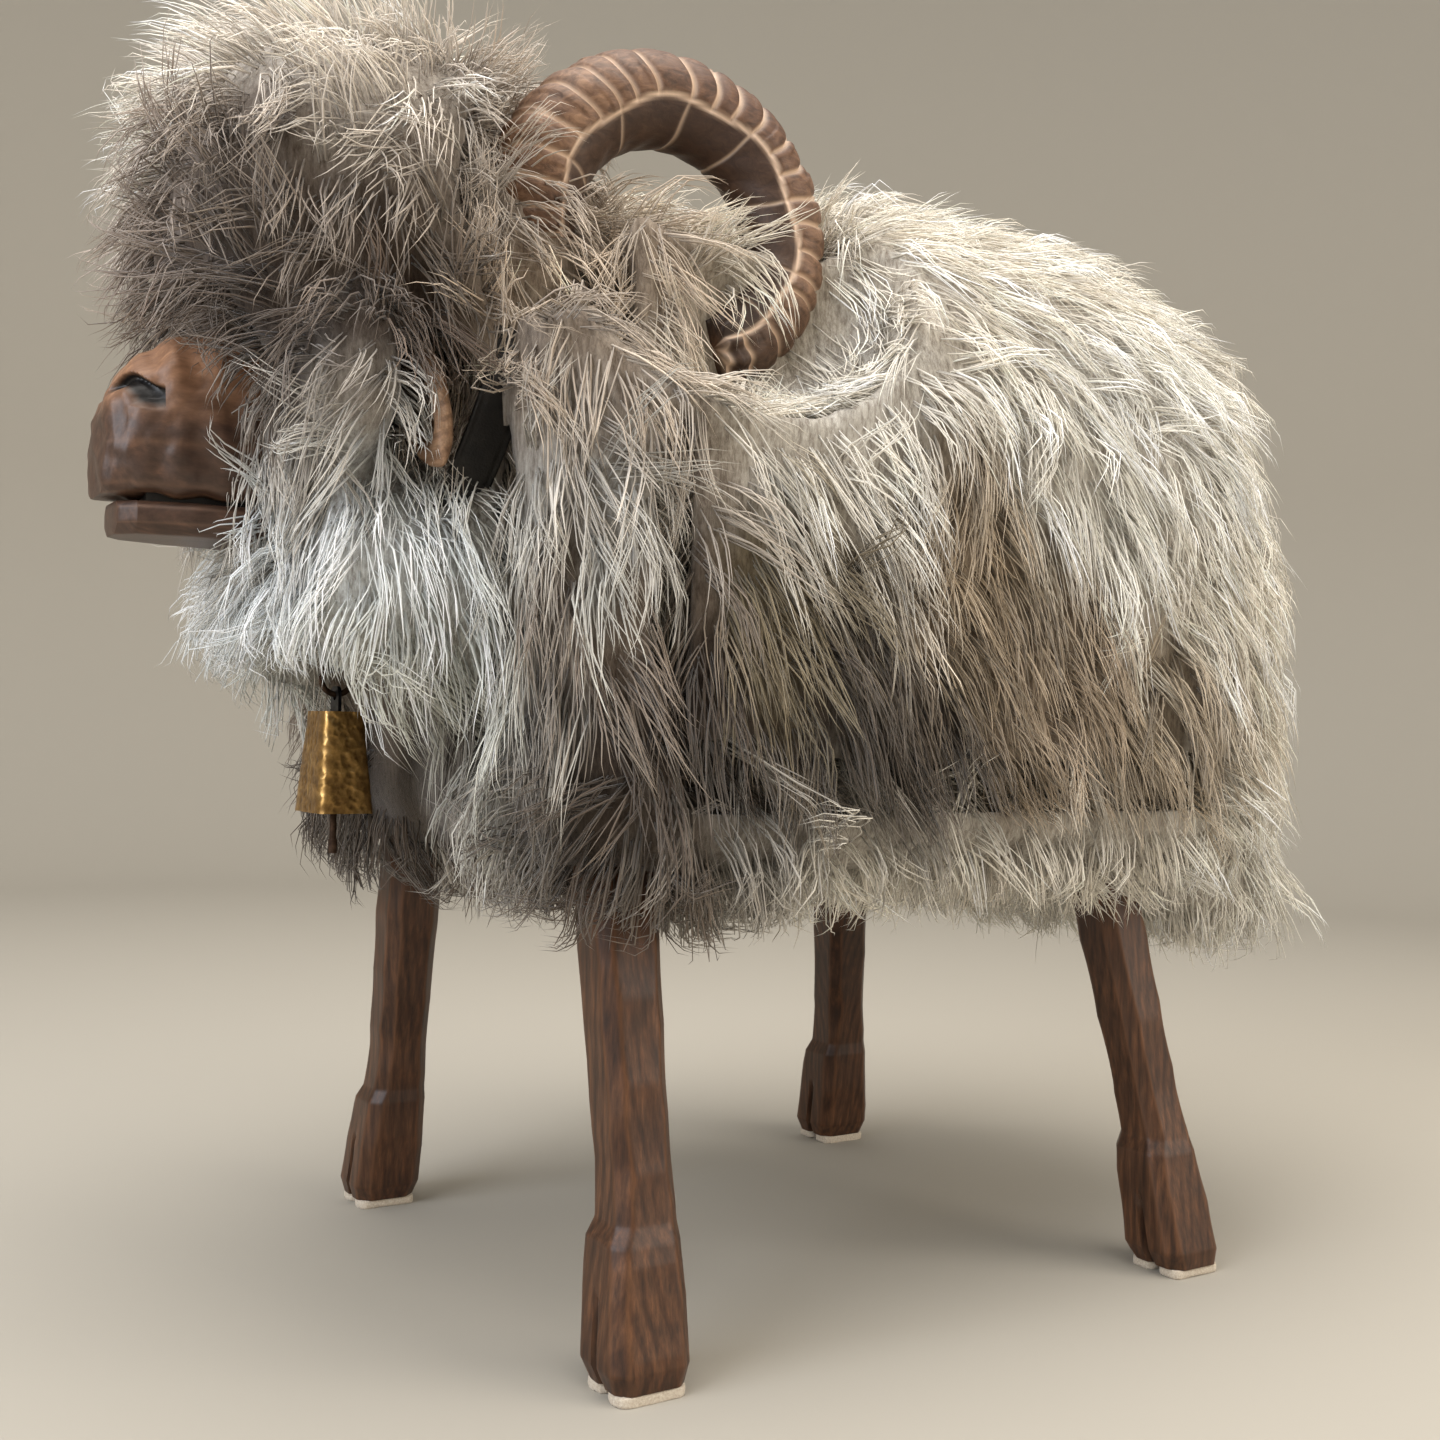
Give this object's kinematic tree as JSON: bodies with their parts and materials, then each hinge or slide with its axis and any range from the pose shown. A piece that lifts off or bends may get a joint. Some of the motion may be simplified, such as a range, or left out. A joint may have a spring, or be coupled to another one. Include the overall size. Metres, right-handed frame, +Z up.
{
  "type": "sheepskin ram stool",
  "caption": "Standing ram on carved wooden legs, covered in long sheepskin, with carved muzzle, turned horns, ears, leather collar and swinging bell.",
  "frame": {"origin": "on the floor under the middle of the whole figure", "axes": "-Y is the way the ram looks, +X its left side, +Z up"},
  "size_m": [0.42, 0.716, 0.656],
  "materials": {
    "stained_pine": "knife-carved pine, walnut stain, satin oil",
    "felt": "pressed wool felt",
    "raw_pine": "planed pine board",
    "beech_dowel": "turned beech",
    "zinc_steel": "zinc plated",
    "wool_padding": "wool batting",
    "sheepskin": "long-haired sheepskin, grey, brown and cream",
    "carved_horn_wood": "carved rings, brown stain, cream scored lines",
    "carved_head_wood": "carved, brown stain, waxed",
    "black_steel": "blackened steel",
    "black_leather": "black strap leather",
    "hammered_brass": "hammered, aged",
    "dark_iron": "dark iron rod"
  },
  "bodies": {
    "ram": {"front_left_leg": "stained_pine", "front_right_leg": "stained_pine", "rear_left_leg": "stained_pine", "rear_right_leg": "stained_pine", "front_left_felts": "felt", "front_right_felts": "felt", "rear_left_felts": "felt", "rear_right_felts": "felt", "base_board": "raw_pine", "front_bulkhead": "raw_pine", "middle_bulkhead": "raw_pine", "rear_bulkhead": "raw_pine", "front_spine": "raw_pine", "rear_spine": "raw_pine", "seat_board": "raw_pine", "neck_post": "raw_pine", "head_block": "raw_pine", "neck_peg": "beech_dowel", "muzzle_dowels": "beech_dowel", "horn_dowels": "beech_dowel", "ear_dowels": "beech_dowel", "leg_bolts": "zinc_steel", "leg_washers": "zinc_steel", "leg_nuts": "zinc_steel", "frame_screws": "zinc_steel", "seat_screws": "zinc_steel", "neck_screws": "zinc_steel", "back_padding": "wool_padding", "left_flank_padding": "wool_padding", "right_flank_padding": "wool_padding", "rump_padding": "wool_padding", "neck_padding": "wool_padding", "crown_fleece": "sheepskin", "cheek_fleece": "sheepskin", "chest_fleece": "sheepskin", "left_shoulder_fleece": "sheepskin", "right_shoulder_fleece": "sheepskin", "withers_fleece": "sheepskin", "left_flank_fleece": "sheepskin", "right_flank_fleece": "sheepskin", "back_fleece": "sheepskin", "rump_fleece": "sheepskin", "belly_fleece": "sheepskin", "breech_fleece": "sheepskin", "left_horn": "carved_horn_wood", "right_horn": "carved_horn_wood", "left_ear": "carved_head_wood", "right_ear": "carved_head_wood", "muzzle": "carved_head_wood", "collar_buckle": "black_steel", "buckle_prong": "black_steel", "collar_staple": "black_steel", "collar_strap": "black_leather", "collar_keeper": "black_leather"},
    "ring": {"bell_ring": "black_steel"},
    "bell": {"bell_shell": "hammered_brass", "bell_hanger": "hammered_brass"},
    "clapper": {"clapper": "dark_iron"}
  },
  "joints": [
    {"name": "bell_swing", "type": "hinge", "parent": "ram", "child": "ring", "pos_m": [0, -0.2396, 0.32445], "axis": [1, 0, 0], "range_deg": [-30, 14]},
    {"name": "bell_sway", "type": "hinge", "parent": "ring", "child": "bell", "pos_m": [0, -0.2396, 0.31153], "axis": [0, 1, 0], "range_deg": [-20, 20]},
    {"name": "clapper_swing", "type": "hinge", "parent": "bell", "child": "clapper", "pos_m": [0, -0.2396, 0.29581], "axis": [1, 0, 0], "range_deg": [-12, 12]}
  ]
}
